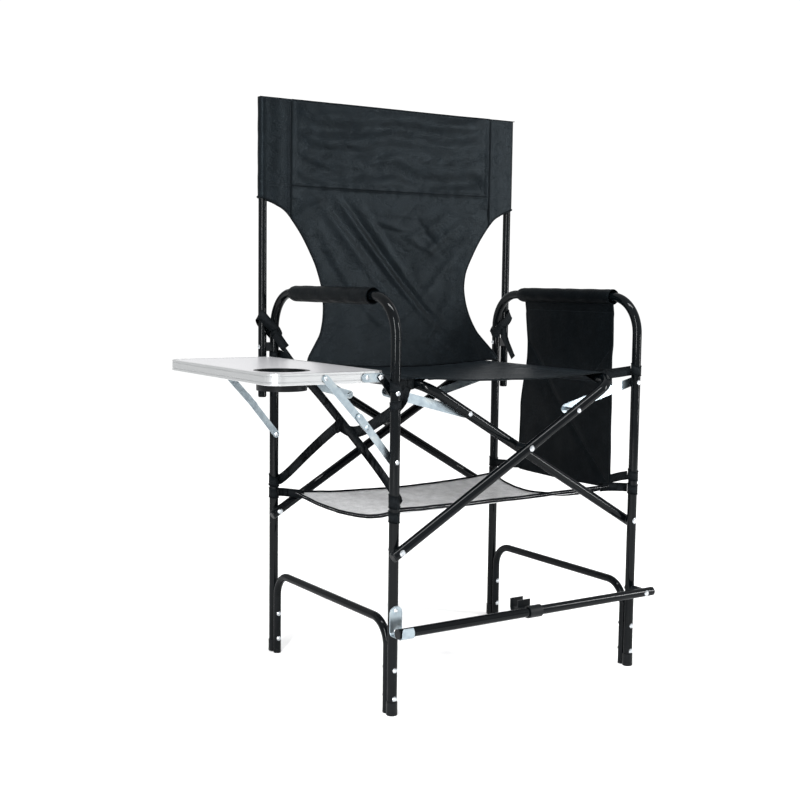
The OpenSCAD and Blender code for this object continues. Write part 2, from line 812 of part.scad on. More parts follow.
// plastic clip that grips the right leg when the bar is swung up
module footrest_clip() {
  color([0.05, 0.05, 0.05]) stance() difference() {
    union() {
      xcyl(-foot_y, foot_z, -12, 18, fr + 3);
      translate([-12, -foot_y, foot_z - 12.2]) cube([30, foot_y - leg_y, 14]);
      xcyl(-leg_y, foot_z, -12, 18, 12.6);
      translate([-12, -leg_y - 12.6, foot_z]) cube([30, 25.2, 16]);
    }
    xcyl(-foot_y, foot_z, -13, 19, fr + 0.05);
    xcyl(-leg_y, foot_z, -13, 19, tr + 0.3);
    translate([-13, -leg_y - tr - 0.3, foot_z]) cube([32, 2 * tr + 0.6, 30]);
  }
}

// zinc hook on the left leg that holds the free end of the bar
module footrest_hook() {
  color([0.62, 0.66, 0.7]) stance() difference() {
    union() {
      translate([-307, -247.1, 153.4]) cube([27, 1.5, 54]);
      translate([-307, -289.1, 153.4]) cube([27, 43, 1.6]);
      translate([-307, -289.1, 153.4]) cube([27, 1.6, 22]);
    }
    for (z = [160, 198]) ycyl(-leg_x, z, -250, -240, 2.05);
  }
}

// spacer between the right leg and the bar
module footrest_bush() {
  color([0.08, 0.08, 0.08]) stance() difference() {
    ycyl(leg_x, foot_z, -foot_y + fr + 0.1, -leg_y - tr - 0.1, 8);
    ycyl(leg_x, foot_z, -foot_y, -leg_y, 3.05);
  }
}

// ---------- drawing ----------

left_hoop();
right_hoop();
left_brace();
right_brace();
left_leg_feet();
right_leg_feet();
left_brace_feet();
right_brace_feet();
left_rivets();
right_rivets();
left_washers();
right_washers();
x_frame_a();
x_frame_b();
x_frame_a_plugs();
x_frame_b_plugs();
cross_bushes();
cross_rivets();
x_frame_a_heads();
x_frame_b_heads();
tie_bar_front_left();
tie_bar_rear_left();
tie_bar_front_right();
tie_bar_rear_right();
left_back_post();
right_back_post();
left_post_plugs();
right_post_plugs();
left_post_brackets();
right_post_brackets();
left_post_strap();
right_post_strap();
seat_fabric();
back_fabric();
left_arm_sleeve();
side_pouch();
pouch_straps();
mesh_shelf();
side_straps();
seat_straps();
table_top();
table_frame();
cup_holder();
table_hinge_plates();
table_rivets();
hinge_brackets();
strut_lower_front();
strut_lower_rear();
strut_upper_front();
strut_upper_rear();
footrest_bar();
footrest_plugs();
footrest_clip();
footrest_hook();
footrest_bush();
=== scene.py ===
import bpy, bmesh, math, json, random
from mathutils import Vector, Matrix, noise


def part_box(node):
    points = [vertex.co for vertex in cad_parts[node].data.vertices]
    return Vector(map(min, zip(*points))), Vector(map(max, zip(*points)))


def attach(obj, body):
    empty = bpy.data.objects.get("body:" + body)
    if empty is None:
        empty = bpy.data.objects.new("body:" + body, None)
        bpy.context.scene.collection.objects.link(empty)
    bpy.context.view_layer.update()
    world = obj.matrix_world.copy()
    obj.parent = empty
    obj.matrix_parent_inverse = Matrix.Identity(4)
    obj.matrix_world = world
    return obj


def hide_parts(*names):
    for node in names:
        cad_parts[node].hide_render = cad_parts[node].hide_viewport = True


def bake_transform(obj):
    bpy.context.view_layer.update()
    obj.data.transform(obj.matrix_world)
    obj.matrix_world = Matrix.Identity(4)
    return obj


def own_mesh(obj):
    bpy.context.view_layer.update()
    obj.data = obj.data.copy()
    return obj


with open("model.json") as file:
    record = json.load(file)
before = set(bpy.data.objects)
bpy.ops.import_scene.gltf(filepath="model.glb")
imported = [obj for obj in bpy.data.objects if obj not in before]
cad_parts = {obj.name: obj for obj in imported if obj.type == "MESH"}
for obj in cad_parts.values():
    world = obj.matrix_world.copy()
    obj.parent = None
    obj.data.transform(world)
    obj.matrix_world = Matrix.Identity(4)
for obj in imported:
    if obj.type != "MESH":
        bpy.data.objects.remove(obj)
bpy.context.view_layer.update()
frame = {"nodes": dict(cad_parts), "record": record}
N = frame["nodes"]
rnd = random.Random(7)

# ---- shared frame: V takes millimetres from the middle of the legs to the frame's metres
PX, PY, PR = 320.0, 239.0, 8.75   # back post: axis across, axis back, radius
LEG_X, LEG_Y, ARM_Z = 293.5, 236, 768
LEFT, RIGHT = "left_frame", "right_frame"
SIDES = ((-1, "left", LEFT), (1, "right", RIGHT))
lo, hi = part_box("left_hoop")
hi2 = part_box("right_hoop")[1]
SX = (lo.x + hi2.x) * 500
SY = (lo.y + hi.y) * 500


def V(x, y, z):
    return Vector(((x + SX) / 1000, (y + SY) / 1000, z / 1000))


def to_mm(p):
    """The way back from V."""
    return Vector((p.x * 1000 - SX, p.y * 1000 - SY, p.z * 1000))


# ---- camera at the photograph's viewing angle
az, pit, rol, f_px = math.radians(-33.16), math.radians(5.44), math.radians(0.72), 1249.06
fwd = Vector((-math.sin(az) * math.cos(pit), math.cos(az) * math.cos(pit), -math.sin(pit)))
cam_data = bpy.data.cameras.new("camera")
cam = bpy.data.objects.new("camera", cam_data)
bpy.context.scene.collection.objects.link(cam)
bpy.context.scene.camera = cam


# ---- materials
def nodes_of(name):
    m = bpy.data.materials.new(name)
    m.use_nodes = True
    nt = m.node_tree
    return m, nt, nt.nodes["Principled BSDF"]


def link(nt, a, b):
    nt.links.new(a, b)


def coords(nt, scale=(1, 1, 1), rot=(0, 0, 0)):
    t = nt.nodes.new("ShaderNodeTexCoord")
    mp = nt.nodes.new("ShaderNodeMapping")
    mp.inputs["Scale"].default_value = scale
    mp.inputs["Rotation"].default_value = rot
    link(nt, t.outputs["Object"], mp.inputs["Vector"])
    return mp.outputs["Vector"]


def noise_tex(nt, vec, scale, detail=3.0, rough=0.5):
    n = nt.nodes.new("ShaderNodeTexNoise")
    n.inputs["Scale"].default_value = scale
    n.inputs["Detail"].default_value = detail
    n.inputs["Roughness"].default_value = rough
    link(nt, vec, n.inputs["Vector"])
    return n.outputs["Fac"]


def wave_tex(nt, vec, scale, direction="X", distort=0.0, dscale=1.0, profile="SIN"):
    w = nt.nodes.new("ShaderNodeTexWave")
    w.wave_type = "BANDS"
    w.bands_direction = direction
    w.wave_profile = profile
    w.inputs["Scale"].default_value = scale
    w.inputs["Distortion"].default_value = distort
    w.inputs["Detail Scale"].default_value = dscale
    link(nt, vec, w.inputs["Vector"])
    return w.outputs["Fac"]


def math_node(nt, op, a, b):
    n = nt.nodes.new("ShaderNodeMath")
    n.operation = op
    for i, v in enumerate((a, b)):
        if isinstance(v, (int, float)):
            n.inputs[i].default_value = v
        else:
            link(nt, v, n.inputs[i])
    return n.outputs[0]


def ramp(nt, fac, stops):
    r = nt.nodes.new("ShaderNodeValToRGB")
    r.color_ramp.elements[0].position, r.color_ramp.elements[0].color = stops[0][0], (*stops[0][1], 1)
    r.color_ramp.elements[1].position, r.color_ramp.elements[1].color = stops[-1][0], (*stops[-1][1], 1)
    for p, c in stops[1:-1]:
        e = r.color_ramp.elements.new(p)
        e.color = (*c, 1)
    link(nt, fac, r.inputs["Fac"])
    return r.outputs["Color"]


def to_range(nt, fac, a, b):
    n = nt.nodes.new("ShaderNodeMapRange")
    n.inputs["To Min"].default_value = a
    n.inputs["To Max"].default_value = b
    link(nt, fac, n.inputs["Value"])
    return n.outputs["Result"]


def bump(nt, bsdf, height, strength, dist, under=None):
    b = nt.nodes.new("ShaderNodeBump")
    b.inputs["Strength"].default_value = strength
    b.inputs["Distance"].default_value = dist
    link(nt, height, b.inputs["Height"])
    if under is not None:
        link(nt, under, b.inputs["Normal"])
    link(nt, b.outputs["Normal"], bsdf.inputs["Normal"])
    return b.outputs["Normal"]


COOL = (0.70, 0.88, 1.0, 1)   # tint of reflections on the blacks


def grey(v, tint=(0.72, 1.0, 1.24)):
    return tuple(v * t for t in tint)


def painted():
    m, nt, b = nodes_of("black_powder_coat")
    vec = coords(nt)
    big = noise_tex(nt, vec, 14, 3)
    fine = noise_tex(nt, vec, 520, 2)
    link(nt, ramp(nt, big, [(0.3, grey(0.0012)), (0.75, grey(0.0026))]), b.inputs["Base Color"])
    link(nt, to_range(nt, noise_tex(nt, vec, 60, 4), 0.17, 0.30), b.inputs["Roughness"])
    b.inputs["Coat Weight"].default_value = 0.2
    b.inputs["Coat Roughness"].default_value = 0.06
    b.inputs["Coat Tint"].default_value = COOL
    b.inputs["Specular IOR Level"].default_value = 0.01
    b.inputs["Specular Tint"].default_value = COOL
    bump(nt, b, fine, 0.10, 0.0004)
    return m


def zinc():
    m, nt, b = nodes_of("zinc_plate")
    vec = coords(nt)
    n = noise_tex(nt, vec, 55, 4)
    link(nt, ramp(nt, n, [(0.3, (0.21, 0.25, 0.28)), (0.55, (0.28, 0.33, 0.36)), (0.8, (0.37, 0.40, 0.40))]),
         b.inputs["Base Color"])
    b.inputs["Metallic"].default_value = 1.0
    link(nt, to_range(nt, noise_tex(nt, vec, 160, 3), 0.24, 0.42), b.inputs["Roughness"])
    bump(nt, b, noise_tex(nt, coords(nt, (900, 900, 900)), 1.0, 2), 0.08, 0.0003)
    return m


def bright():
    m, nt, b = nodes_of("rivet_steel")
    vec = coords(nt)
    n = noise_tex(nt, vec, 220, 3)
    link(nt, ramp(nt, n, [(0.3, (0.32, 0.34, 0.36)), (0.7, (0.48, 0.50, 0.52))]), b.inputs["Base Color"])
    b.inputs["Metallic"].default_value = 1.0
    link(nt, to_range(nt, n, 0.14, 0.30), b.inputs["Roughness"])
    bump(nt, b, noise_tex(nt, vec, 900, 2), 0.10, 0.0002)
    return m


def aluminium():
    m, nt, b = nodes_of("edge_aluminium")
    vec = coords(nt, (1, 1, 60))
    n = noise_tex(nt, vec, 40, 4, 0.6)
    link(nt, ramp(nt, n, [(0.3, (0.42, 0.43, 0.44)), (0.7, (0.47, 0.48, 0.48))]), b.inputs["Base Color"])
    b.inputs["Metallic"].default_value = 1.0
    link(nt, to_range(nt, n, 0.26, 0.40), b.inputs["Roughness"])
    bump(nt, b, n, 0.02, 0.0002)
    return m


def laminate():
    m, nt, b = nodes_of("table_laminate")
    vec = coords(nt, (1, 0.06, 1))
    streak = noise_tex(nt, vec, 700, 3, 0.6)
    cloud = noise_tex(nt, coords(nt), 6, 3)
    mix = math_node(nt, "ADD", math_node(nt, "MULTIPLY", streak, 0.55),
                    math_node(nt, "MULTIPLY", cloud, 0.45))
    link(nt, ramp(nt, mix, [(0.30, (0.32, 0.32, 0.335)), (0.70, (0.36, 0.36, 0.37))]), b.inputs["Base Color"])
    link(nt, to_range(nt, streak, 0.30, 0.44), b.inputs["Roughness"])
    b.inputs["Metallic"].default_value = 0.25
    b.inputs["Coat Weight"].default_value = 0.2
    b.inputs["Coat Roughness"].default_value = 0.2
    bump(nt, b, streak, 0.05, 0.0003)
    return m


def plastic(name, base, rough):
    m, nt, b = nodes_of(name)
    vec = coords(nt)
    n = noise_tex(nt, vec, 1100, 3)
    link(nt, ramp(nt, noise_tex(nt, vec, 30, 3), [(0.3, grey(base * 0.8)), (0.75, grey(base * 1.3))]),
         b.inputs["Base Color"])
    link(nt, to_range(nt, n, rough - 0.06, rough + 0.08), b.inputs["Roughness"])
    b.inputs["Specular IOR Level"].default_value = 0.12
    bump(nt, b, n, 0.25, 0.0002)
    return m


def cloth(name, base, rough, pitch=1.1, plane="XZ", sheen=0.25, painted_sheen_lift=0.0, weave=0.5,
          wrinkle=0.0, spec=0.2):
    """Woven cloth: two crossed thread directions, blotchy coating tone whose light blotches and specks are
    partly painted sheen, soft creases.
    """
    m, nt, b = nodes_of(name)
    vec = coords(nt)
    s = 1000 / pitch / (2 * math.pi)
    a1 = wave_tex(nt, vec, s, plane[0], 0.6, 40)
    a2 = wave_tex(nt, vec, s, plane[1], 0.6, 40)
    thread = math_node(nt, "MAXIMUM", a1, a2)
    blotch = noise_tex(nt, vec, 38, 6, 0.62)
    speck = noise_tex(nt, vec, 260, 4, 0.65)
    mix = math_node(nt, "ADD", math_node(nt, "MULTIPLY", blotch, 0.42),
                    math_node(nt, "MULTIPLY", speck, 0.58))
    # light end of the ramp: the coating's random tone plus a painted sheen lift on the light blotches and
    # specks
    dark, light = grey(base * 0.62), grey(base * (1.45 + painted_sheen_lift))
    link(nt, ramp(nt, mix, [(0.38, dark), (0.52, grey(base)), (0.66, light)]), b.inputs["Base Color"])
    link(nt, to_range(nt, mix, rough + 0.12, rough - 0.10), b.inputs["Roughness"])
    b.inputs["Sheen Weight"].default_value = sheen
    b.inputs["Sheen Roughness"].default_value = 0.45
    b.inputs["Specular IOR Level"].default_value = spec
    b.inputs["Specular Tint"].default_value = COOL
    n1 = bump(nt, b, thread, weave, 0.0003)
    n2 = bump(nt, b, speck, 0.4, 0.0007, n1)
    if wrinkle:
        cr = noise_tex(nt, coords(nt, (1, 1, 1.6), (0, math.radians(40), 0)), 30, 5, 0.62)
        ridge = math_node(nt, "ABSOLUTE", math_node(nt, "SUBTRACT", cr, 0.5), 0.0)
        n3 = bump(nt, b, to_range(nt, ridge, 1.0, 0.0), wrinkle * 0.6, 0.004, n2)
        bump(nt, b, cr, wrinkle * 0.7, 0.003, n3)
    return m


def webbing_mat():
    m, nt, b = nodes_of("webbing_tape")
    vec = coords(nt)
    rib = wave_tex(nt, vec, 1000 / 2.2 / 6.2832, "DIAGONAL", 0.3, 30)
    sp = noise_tex(nt, vec, 500, 3)
    link(nt, ramp(nt, sp, [(0.3, grey(0.002)), (0.7, grey(0.006))]), b.inputs["Base Color"])
    link(nt, to_range(nt, sp, 0.55, 0.75), b.inputs["Roughness"])
    b.inputs["Specular IOR Level"].default_value = 0.06
    bump(nt, b, rib, 0.5, 0.0006)
    return m


def net_mat():
    """Open knitted net: round holes in a staggered grid, cut out with alpha."""
    m, nt, b = nodes_of("grey_net")
    vec = coords(nt)
    w1 = wave_tex(nt, vec, 1000 / 4.4 / 6.2832 * 2, "X", 0.4, 30)
    w2 = wave_tex(nt, vec, 1000 / 3.8 / 6.2832 * 2, "Y", 0.4, 30)
    hole = math_node(nt, "MULTIPLY", w1, w2)
    alpha = to_range(nt, math_node(nt, "GREATER_THAN", hole, 0.36), 1.0, 0.12)
    link(nt, alpha, b.inputs["Alpha"])
    link(nt, ramp(nt, noise_tex(nt, vec, 60, 4), [(0.3, (0.36, 0.365, 0.375)), (0.7, (0.55, 0.555, 0.565))]),
         b.inputs["Base Color"])
    b.inputs["Roughness"].default_value = 0.55
    b.inputs["Sheen Weight"].default_value = 0.3
    bump(nt, b, hole, 0.5, 0.0008)
    return m


MAT = {
    "black_tube": painted(),
    "zinc_steel": zinc(),
    "rivet_steel": bright(),
    "edge_aluminium": aluminium(),
    "table_laminate": laminate(),
    "black_plastic": plastic("black_moulding", 0.003, 0.42),
    "nylon_spacer": plastic("nylon", 0.004, 0.30),
    # the seventh cloth argument lifts the light blotches and specks of the base colour as painted sheen
    "back_cloth": cloth("back_cloth", 0.0034, 0.28, 1.1, "XZ", 0.0, 0.6, 0.5, 0.7, 0.08),
    "seat_cloth": cloth("seat_cloth", 0.0060, 0.48, 1.1, "XY", 0.0, 0.5, 0.1, 0.35, 0.06),
    "pouch_cloth": cloth("pouch_cloth", 0.0024, 0.55, 1.1, "YZ", 0.0, 0.3, 0.1, 0.35, 0.05),
    "sleeve_cloth": cloth("sleeve_cloth", 0.0022, 0.5, 1.1, "YZ", 0.0, 0.3, 0.15, 0.3, 0.04),
    "webbing": webbing_mat(),
    "grey_mesh": net_mat(),
}
THREAD = plastic("thread", 0.012, 0.6)
PIPING = cloth("binding_tape", 0.0024, 0.5, 0.8, "XZ", 0.0, 0.0, 0.2, 0.0, 0.06)

for sp in frame["record"]["subparts"]:
    o = N[sp["node"]]
    o.data.materials.clear()
    o.data.materials.append(MAT[sp["material_slot"]])


# ---- mesh helpers
def add(name, verts, faces, mat, smooth=True):
    me = bpy.data.meshes.new(name)
    me.from_pydata([tuple(v) for v in verts], [], faces)
    me.validate()
    me.update()
    o = bpy.data.objects.new(name, me)
    bpy.context.scene.collection.objects.link(o)
    me.materials.append(mat)
    if smooth:
        me.polygons.foreach_set("use_smooth", [True] * len(me.polygons))
    return o


def grid(name, f, nu, nv, mat, loop_u=False, loop_v=False):
    du, dv = (nu if loop_u else nu - 1), (nv if loop_v else nv - 1)
    verts = [f(i / du, j / dv) for j in range(nv) for i in range(nu)]
    faces = []
    for j in range(nv if loop_v else nv - 1):
        for i in range(nu if loop_u else nu - 1):
            a, b = j * nu + i, j * nu + (i + 1) % nu
            c, d = ((j + 1) % nv) * nu + (i + 1) % nu, ((j + 1) % nv) * nu + i
            faces.append((a, b, c, d))
    return add(name, verts, faces, mat)


def apply_all(o):
    bpy.context.view_layer.update()
    dg = bpy.context.evaluated_depsgraph_get()
    me = bpy.data.meshes.new_from_object(o.evaluated_get(dg))
    old = o.data
    o.modifiers.clear()
    o.data = me
    bpy.data.meshes.remove(old)
    return o


def thicken(o, t, offset=0.0):
    m = o.modifiers.new("thick", "SOLIDIFY")
    m.thickness = t / 1000
    m.offset = offset
    m.use_even_offset = False
    return apply_all(o)


def spline(pts, n):
    """Catmull-Rom through points, n samples per span."""
    p = [Vector(q) for q in pts]
    p = [p[0] * 2 - p[1]] + p + [p[-1] * 2 - p[-2]]
    out = []
    for i in range(1, len(p) - 2):
        for k in range(n):
            t = k / n
            a, b, c, d = p[i - 1:i + 3]
            out.append(0.5 * (2 * b + (c - a) * t + (2 * a - 5 * b + 4 * c - d) * t * t
                              + (-a + 3 * b - 3 * c + d) * t ** 3))
    out.append(p[-2])
    return out


def frames(path, up, closed=False):
    out = []
    n = len(path)
    for i in range(n):
        a = path[(i - 1) % n] if (closed or i > 0) else path[i]
        b = path[(i + 1) % n] if (closed or i < n - 1) else path[i]
        t = (b - a).normalized()
        u = up(i / max(1, n - 1)) if callable(up) else Vector(up)
        s = t.cross(u)
        s.normalize()
        out.append((path[i], t, s, s.cross(t).normalized()))
    return out


def sweep(name, path, section, up, mat, closed=False, caps=True):
    """path in mm Vectors, section list of (across, up) mm."""
    fr_ = frames(path, up, closed)
    k = len(section)
    verts = []
    for p, t, s, u in fr_:
        for a, b in section:
            verts.append(V(*(p + s * a + u * b)))
    faces = []
    rows = len(path)
    for j in range(rows if closed else rows - 1):
        for i in range(k):
            a, b = j * k + i, j * k + (i + 1) % k
            c, d = ((j + 1) % rows) * k + (i + 1) % k, ((j + 1) % rows) * k + i
            faces.append((a, d, c, b))
    if caps and not closed:
        faces.append(tuple(range(k)))
        faces.append(tuple(reversed(range((rows - 1) * k, rows * k))))
    return add(name, verts, faces, mat)


def ring_section(r, n=10):
    return [(r * math.cos(2 * math.pi * i / n), r * math.sin(2 * math.pi * i / n)) for i in range(n)]


def tape_section(w, t):
    """Flat tape: w along up, t across, with soft edges."""
    e = t * 0.5
    pts = []
    for sx, sz in ((1, 1), (-1, 1), (-1, -1), (1, -1)):
        for k in ((0.0, 0.5, 1.0) if sx * sz > 0 else (1.0, 0.5, 0.0)):
            pts.append((sx * e * math.sin(k * math.pi / 2), sz * (w / 2 - e + e * math.cos(k * math.pi / 2))))
    return pts


def tape(name, pts, up, body, w=22, t=1.5, n=8, mat=None, closed=False, replaced=()):
    path = pts if closed else spline(pts, n)
    o = sweep(name, path, tape_section(w, t), up, mat or MAT["webbing"], closed)
    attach(o, body)
    if replaced:
        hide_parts(*replaced)
    return o


def join(name, objs):
    bm = bmesh.new()
    mats = []
    for o in objs:
        base = len(mats)
        for m in o.data.materials:
            if m not in mats:
                mats.append(m)
        start = len(bm.faces)
        bm.from_mesh(o.data)
        bm.faces.ensure_lookup_table()
        idx = [mats.index(m) for m in o.data.materials]
        for f_ in bm.faces[start:]:
            f_.material_index = idx[f_.material_index] if idx else 0
    me = bpy.data.meshes.new(name)
    bm.to_mesh(me)
    bm.free()
    for m in mats:
        me.materials.append(m)
    for o in objs:
        d = o.data
        bpy.data.objects.remove(o)
        bpy.data.meshes.remove(d)
    o = bpy.data.objects.new(name, me)
    bpy.context.scene.collection.objects.link(o)
    return o


def stitches(name, path, normal, step=3.4, length=2.3, r=0.34):
    """A run of thread stitches along a path of mm Vectors, standing on the surface."""
    pts, total = [path[0]], [0.0]
    for p in path[1:]:
        total.append(total[-1] + (p - pts[-1]).length)
        pts.append(p)
    verts, faces = [], []
    k = int(total[-1] // step)
    i = 0
    for s in range(k):
        ends = []
        for d in (s * step, s * step + length):
            while i < len(total) - 2 and total[i + 1] < d:
                i += 1
            q = (d - total[i]) / max(1e-6, total[i + 1] - total[i])
            ends.append(pts[i].lerp(pts[i + 1], min(1, q)))
        i = max(0, i - 1)
        a, b = ends
        t = (b - a).normalized()
        nn = normal(s / max(1, k)) if callable(normal) else Vector(normal)
        side = t.cross(nn).normalized()
        base = len(verts)
        for q, lift, rr in ((a, -0.25, r * 0.5), (a.lerp(b, 0.25), 0.15, r), (a.lerp(b, 0.75), 0.15, r),
                            (b, -0.25, r * 0.5)):
            for ang in (0, 90, 180, 270):
                ca, sa = math.cos(math.radians(ang)), math.sin(math.radians(ang))
                verts.append(V(*(q + nn * (lift + rr * sa) + side * rr * ca)))
        for j in range(3):
            for m_ in range(4):
                a0, b0 = base + j * 4 + m_, base + j * 4 + (m_ + 1) % 4
                faces.append((a0, b0, b0 + 4, a0 + 4))
        faces.append((base, base + 3, base + 2, base + 1))
        faces.append((base + 12, base + 13, base + 14, base + 15))
    return add(name, verts, faces, THREAD)


FORWARD, BACKWARD, UP = Vector((0, -1, 0)), Vector((0, 1, 0)), Vector((0, 0, 1))


def seam(pts, normal=FORWARD, *sizes):
    return stitches("st", [Vector(p) for p in pts], normal, *sizes)


def piping(name, pts, r, n=8, up=BACKWARD):
    return sweep(name, [Vector(p) for p in pts], ring_section(r, n), up, PIPING)


def nz(x, y, z, s):
    return noise.noise(Vector((x, y, z)) * s)


def smooth(t, a, b):
    t = max(0.0, min(1.0, (t - a) / (b - a)))
    return t * t * (3 - 2 * t)


# ================= seat numbers =================
th0 = math.acos(293.5 / 340.0)
CZ = 308 + 340 * math.sin(th0)
RX, RZ, TR = 250 * math.cos(th0), CZ + 250 * math.sin(th0), 9.5


def seat_z(x, y):
    u = min(1.0, abs(x) / RX)
    sag = 10.5 * max(0.0, 1 - u * u) ** 1.1 * (0.75 + 0.25 * math.cos(math.pi * y / 500))
    w = 1.3 * nz(x, y, 0, 0.012) + 0.7 * nz(x, y, 3, 0.035)
    pull = 1.2 * math.exp(-((RX - abs(x)) / 45) ** 2) * math.sin(y * 0.085 + 2 * nz(0, y, 0, 0.02))
    front = 1.5 * math.exp(-((y + 222) / 10) ** 2)
    return -sag + (w + pull) * smooth(RX - abs(x), 0, 20) + front * (1 - u * u)


# ================= back cloth =================
# half width of the back cloth by height: the seat, the waist and the flare to the posts
EDGE = [
    (619, 249), (633, 243), (647, 232), (663, 219), (680, 206), (700, 197), (720, 191), (743, 187),
    (770, 186), (790, 188), (820, 196), (850, 210), (893, 235), (935, 268), (950, 290), (958, 308),
    (966, 331),
]
BAND_Z, FULL_W, SEAM_X, SEAM_Z = 966, 331.0, 259.0, 992


def half_w(z):
    """Half width, straight between the points of EDGE."""
    if z >= BAND_Z:
        return FULL_W
    if z <= EDGE[0][0]:
        return EDGE[0][1]
    for (z0, w0), (z1, w1) in zip(EDGE, EDGE[1:]):
        if z <= z1:
            return w0 + (w1 - w0) * (z - z0) / (z1 - z0)


EDGE_S = spline([Vector((w, 0, z)) for z, w in EDGE], 8)


def half_s(z):
    """Half width along the smooth curve through EDGE."""
    if z >= BAND_Z:
        return FULL_W
    for a, b in zip(EDGE_S, EDGE_S[1:]):
        if a.z <= z <= b.z:
            q = (z - a.z) / max(1e-6, b.z - a.z)
            return a.x + (b.x - a.x) * q
    return EDGE_S[0].x


BACK_Y = PY - PR - 0.55 - 1.0


def edge_z(x):
    """Height of the cut-out's edge at a distance x from the middle, outside the waist."""
    for a, b in zip(EDGE_S, EDGE_S[1:]):
        if a.z > 800 and a.x <= x <= b.x:
            return a.z + (b.z - a.z) * (x - a.x) / max(1e-6, b.x - a.x)
    return float(BAND_Z)


def forward(z):
    """The lower back runs forward to the rear edge of the seat."""
    return -56.7 * (max(0.0, 820 - z) / 201) ** 1.45


def crease(x, z, x0, z0, x1, z1, width, depth):
    """A soft ridge along the segment (x0,z0)-(x1,z1)."""
    dx, dz = x1 - x0, z1 - z0
    L = math.hypot(dx, dz)
    t = ((x - x0) * dx + (z - z0) * dz) / (L * L)
    d = ((x - x0) * dz - (z - z0) * dx) / L
    if t < -0.3 or t > 1.3:
        return 0.0
    fade = math.sin(math.pi * max(0, min(1, (t + 0.15) / 1.3)))
    bend = 0.9 * width * math.sin(2.2 * t + x0 * 0.05)
    return depth * fade * math.exp(-((d + bend) / width) ** 2)


CREASES = [
    (-205, 965, 40, 720, 13, 2.6), (-140, 972, 75, 700, 8, 3.6), (-128, 972, 90, 706, 8, -3.0),
    (-165, 968, -20, 810, 9, -1.8), (-110, 966, 120, 700, 12, 2.3),
    (-60, 950, 150, 690, 10, -1.7), (-190, 905, -40, 700, 12, 2.0), (-175, 850, -20, 660, 10, -1.5),
    (205, 930, 70, 845, 9, 2.0), (185, 900, 40, 800, 8, -1.6), (150, 955, 20, 880, 8, 2.1),
    (170, 870, 60, 730, 9, 1.6), (-60, 935, 60, 905, 6, 1.6), (-30, 915, 90, 895, 5, -1.4),
    (-10, 945, 100, 930, 6, 1.5), (30, 890, 120, 855, 6, 1.5), (60, 940, 130, 870, 6, -1.5),
    (-235, 930, -150, 965, 9, 1.6), (235, 935, 140, 968, 9, 1.5), (-150, 790, 20, 640, 10, 1.2),
    (150, 780, 40, 640, 11, 1.3), (-90, 700, 60, 640, 9, -1.0),
]
for k in range(14):
    x0, z0 = rnd.uniform(-150, 150), rnd.uniform(640, 950)
    an = math.radians(rnd.choice((-1, -1, 1)) * rnd.uniform(25, 65))
    ln = rnd.uniform(50, 120)
    x1, z1 = x0 + ln * math.cos(an), z0 + ln * math.sin(an)
    CREASES.append((x0, z0, x1, z1, rnd.uniform(4, 8), rnd.uniform(0.4, 1.1) * rnd.choice((-1, 1))))


def back_depth(x, z):
    """How far the back cloth stands behind (+) its flat plane."""
    w = half_w(z)
    u = x / max(1.0, w)
    s = 0.0
    rise = math.sin(math.pi * max(0, min(1, (z - 600) / 560)))
    belly = 9.0 * max(0.0, math.cos(u * math.pi / 2)) ** 1.2 * max(0.0, rise) ** 0.8
    s += belly
    low = smooth(z, 966, 900)
    s += low * 1.6 * nz(x, 0, z, 0.011) + low * 0.8 * nz(x, 5, z, 0.03)
    if z < 985:
        for c in CREASES:
            s += -crease(x, z, *c) * smooth(z, 990, 950)
    # band folds
    band = smooth(z, 975, 1010)
    folds = 2.2 * math.sin(z * 0.13 + x * 0.004 + 4 * nz(x, 1, z, 0.005))
    folds += 3.0 * nz(x * 0.22, 2, z, 0.032) + 1.1 * nz(x * 0.5, 7, z, 0.07)
    s += band * smooth(abs(x), 256, 215) * folds
    s += 0.9 * math.exp(-((abs(x) - 246) / 4) ** 2) * band
    # puckers by the seams
    s += 0.8 * math.exp(-((z - 992) / 7) ** 2) * math.sin(x * 0.16 + 3 * nz(x, 0, 0, 0.02))
    s -= 2.2 * math.exp(-((z - 992) / 3.0) ** 2)
    pucker = math.sin(z * 0.2 + 3 * nz(0, 0, z, 0.02)) * smooth(z, 940, 990)
    s += 0.8 * math.exp(-((abs(x) - SEAM_X) / 7) ** 2) * pucker
    return forward(z) + (s * smooth(w - abs(x), -2, 26) if z < 966 else s * smooth(262 - abs(x), -3, 30))


def back_mid(u, v):
    # uniform rows from bottom to top; width limited to the post seams
    z = 618.6 + (1168.5 - 618.6) * v
    w = min(SEAM_X, half_s(z))
    x = (2 * u - 1) * w
    return V(x, BACK_Y + back_depth(x, z), z + seat_z(x, 172) * smooth(z, 690, 619))


mid = grid("back_panel", back_mid, 150, 170, MAT["back_cloth"])
thicken(mid, 1.5)
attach(mid, LEFT)
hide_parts("back_fabric")


def sleeve_back(s):
    """Post pocket: front layer, round the post, and back to the seam."""
    r = PR + 1.4
    prof = []
    for k in range(16):
        t = k / 15
        prof.append((SEAM_X + (PX - SEAM_X - 4) * t, BACK_Y + 0.4 * math.sin(t * 9)))
    for k in range(15):
        a = math.radians(-90 + 180 * k / 14 + 6)
        prof.append((PX + r * math.cos(a), PY + r * math.sin(a)))
    for k in range(1, 16):
        t = k / 15
        y0 = PY + r
        prof.append((PX - 3 - (PX - 3 - SEAM_X) * t, y0 + (BACK_Y + 2.2 - y0) * (t ** 0.75)))
    n = len(prof)

    def f(u, v):
        i = min(n - 1, int(round(u * (n - 1))))
        x, y = prof[i]
        zlo = edge_z(x)
        z = zlo + (1169.3 - zlo) * v
        out = 0.5 * nz(x * 0.2, s, z, 0.06) + 0.25 * math.sin(z * 0.11 + s)
        return V(s * (x + out * 0.4 * (x > 300)), y + out * 0.8, z)
    o = grid("back_pocket_" + ("left" if s < 0 else "right"), f, n, 60, MAT["back_cloth"])
    thicken(o, 1.2)
    return o


